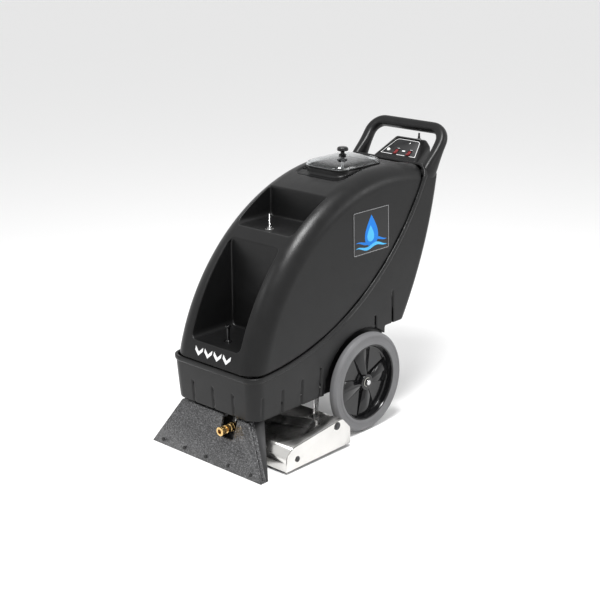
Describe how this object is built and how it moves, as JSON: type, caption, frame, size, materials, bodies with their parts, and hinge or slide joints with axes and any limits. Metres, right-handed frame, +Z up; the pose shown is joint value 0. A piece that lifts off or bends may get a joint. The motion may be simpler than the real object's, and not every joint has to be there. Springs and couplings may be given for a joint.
{
  "type": "carpet cleaner machine",
  "caption": "Wheeled self-contained carpet extractor with a black moulded base and tank, front vacuum shoe, floating brush deck, clear dome lid and loop handle.",
  "frame": {"origin": "on the floor, under the middle of the machine's outline", "axes": "+Z up, -Y forwards towards the vacuum shoe, +X towards the operator's left"},
  "size_m": [0.472, 0.9278, 0.8618],
  "materials": {
    "black_shell": "rotomoulded black polyethylene, fine pebbled texture",
    "black_powder": "black hammered powder coat",
    "grey_tyre": "non-marking grey rubber",
    "gloss_black": "glossy black moulding",
    "stainless": "brushed stainless sheet",
    "zinc": "zinc plated steel",
    "brass": "machined brass",
    "black_rubber": "black rubber",
    "clear": "clear polycarbonate",
    "pvc": "off-white moulding",
    "switch_red": "dark red rocker",
    "badge_blue": "printed blue and black badge",
    "bristle_blue": "nylon bristle",
    "motor_grey": "dark grey enamel",
    "lamp_white": "milky lens"
  },
  "bodies": {
    "chassis": {"base_shell": "black_shell", "tank_shell": "black_shell", "handle_loop": "black_shell", "base_pan": "black_powder", "axle": "zinc", "axle_brackets": "black_powder", "axle_washers": "zinc", "axle_caps": "zinc", "shoe_front_plate": "black_powder", "shoe_rear_body": "black_powder", "shoe_gasket": "black_rubber", "shoe_brackets": "zinc", "shoe_screws": "black_rubber", "suction_duct": "black_rubber", "coupler_elbow": "black_rubber", "coupler_body": "brass", "deck_hangers": "zinc", "spray_manifold": "zinc", "spray_jets": "brass", "vacuum_motor": "motor_grey", "water_pump": "motor_grey", "standpipe": "pvc", "float_cage": "pvc", "lid_bridge": "stainless", "control_pod": "black_shell", "panel_plate": "gloss_black", "switch_bezels": "gloss_black", "indicator_light": "lamp_white", "toggle_nut": "zinc", "bay_post": "gloss_black", "tray_stud": "stainless", "side_badges": "badge_blue", "power_inlet": "gloss_black", "drain_valve": "gloss_black"},
    "left_wheel": {"left_tyre": "grey_tyre", "left_rim": "gloss_black", "left_bush": "pvc"},
    "right_wheel": {"right_tyre": "grey_tyre", "right_rim": "gloss_black", "right_bush": "pvc"},
    "coupler_ring": {"coupler_sleeve": "brass"},
    "deck": {"deck_cover": "stainless", "deck_end_plates": "stainless", "deck_pivot_bolts": "black_rubber", "brush_bearings": "gloss_black", "brush_motor": "motor_grey", "drive_belt": "black_rubber"},
    "brush": {"brush_core": "motor_grey", "brush_bristles": "bristle_blue", "brush_pulley": "motor_grey"},
    "motor_shaft": {"motor_pulley": "motor_grey"},
    "float": {"float_ball": "pvc"},
    "lid": {"lid_dome": "clear", "lid_gasket": "black_rubber"},
    "lid_screw": {"lid_knob": "gloss_black", "lid_rod": "stainless"},
    "vacuum_switch": {"left_rocker": "switch_red"},
    "brush_switch": {"right_rocker": "switch_red"},
    "pump_toggle": {"toggle_lever": "gloss_black"},
    "gate": {"drain_gate": "switch_red"}
  },
  "joints": [
    {"name": "left_wheel_turn", "type": "hinge", "parent": "chassis", "child": "left_wheel", "pos_m": [0.182, 0.024, 0.1524], "axis": [1, 0, 0], "continuous": true},
    {"name": "right_wheel_turn", "type": "hinge", "parent": "chassis", "child": "right_wheel", "pos_m": [-0.182, 0.024, 0.1524], "axis": [1, 0, 0], "continuous": true},
    {"name": "coupler_slide", "type": "slide", "parent": "chassis", "child": "coupler_ring", "axis": [0, 1, 0], "range_m": [0, 0.0045], "stiffness_N_per_m": 800, "springref_m": -0.002},
    {"name": "deck_float", "type": "hinge", "parent": "chassis", "child": "deck", "pos_m": [0, -0.159, 0.082], "axis": [-1, 0, 0], "range_deg": [0, 6]},
    {"name": "brush_spin", "type": "hinge", "parent": "deck", "child": "brush", "pos_m": [0, -0.326, 0.035], "axis": [1, 0, 0], "continuous": true},
    {"name": "motor_spin", "type": "hinge", "parent": "deck", "child": "motor_shaft", "pos_m": [0, -0.208, 0.052], "axis": [1, 0, 0], "continuous": true},
    {"name": "float_rise", "type": "slide", "parent": "chassis", "child": "float", "axis": [0, 0, 1], "range_m": [0, 0.015]},
    {"name": "lid_lift", "type": "slide", "parent": "chassis", "child": "lid", "axis": [0, 0, 1], "range_m": [0, 0.15]},
    {"name": "knob_turn", "type": "hinge", "parent": "lid", "child": "lid_screw", "pos_m": [0, 0.12, 0.79], "axis": [0, 0, 1], "continuous": true},
    {"name": "vacuum_rocker", "type": "hinge", "parent": "chassis", "child": "vacuum_switch", "pos_m": [0.036, 0.38979, 0.76355], "axis": [1, 0, 0], "range_deg": [0, 16]},
    {"name": "brush_rocker", "type": "hinge", "parent": "chassis", "child": "brush_switch", "pos_m": [-0.014, 0.38979, 0.76355], "axis": [1, 0, 0], "range_deg": [0, 16]},
    {"name": "toggle_tip", "type": "hinge", "parent": "chassis", "child": "pump_toggle", "pos_m": [0.034, 0.443, 0.8059], "axis": [1, 0, 0], "range_deg": [-14, 14]},
    {"name": "gate_pull", "type": "slide", "parent": "chassis", "child": "gate", "axis": [0, 0, 1], "range_m": [0, 0.03]}
  ],
  "couplings": [
    {"joint": "motor_spin", "follows": "brush_spin", "ratio": 1.5714}
  ]
}
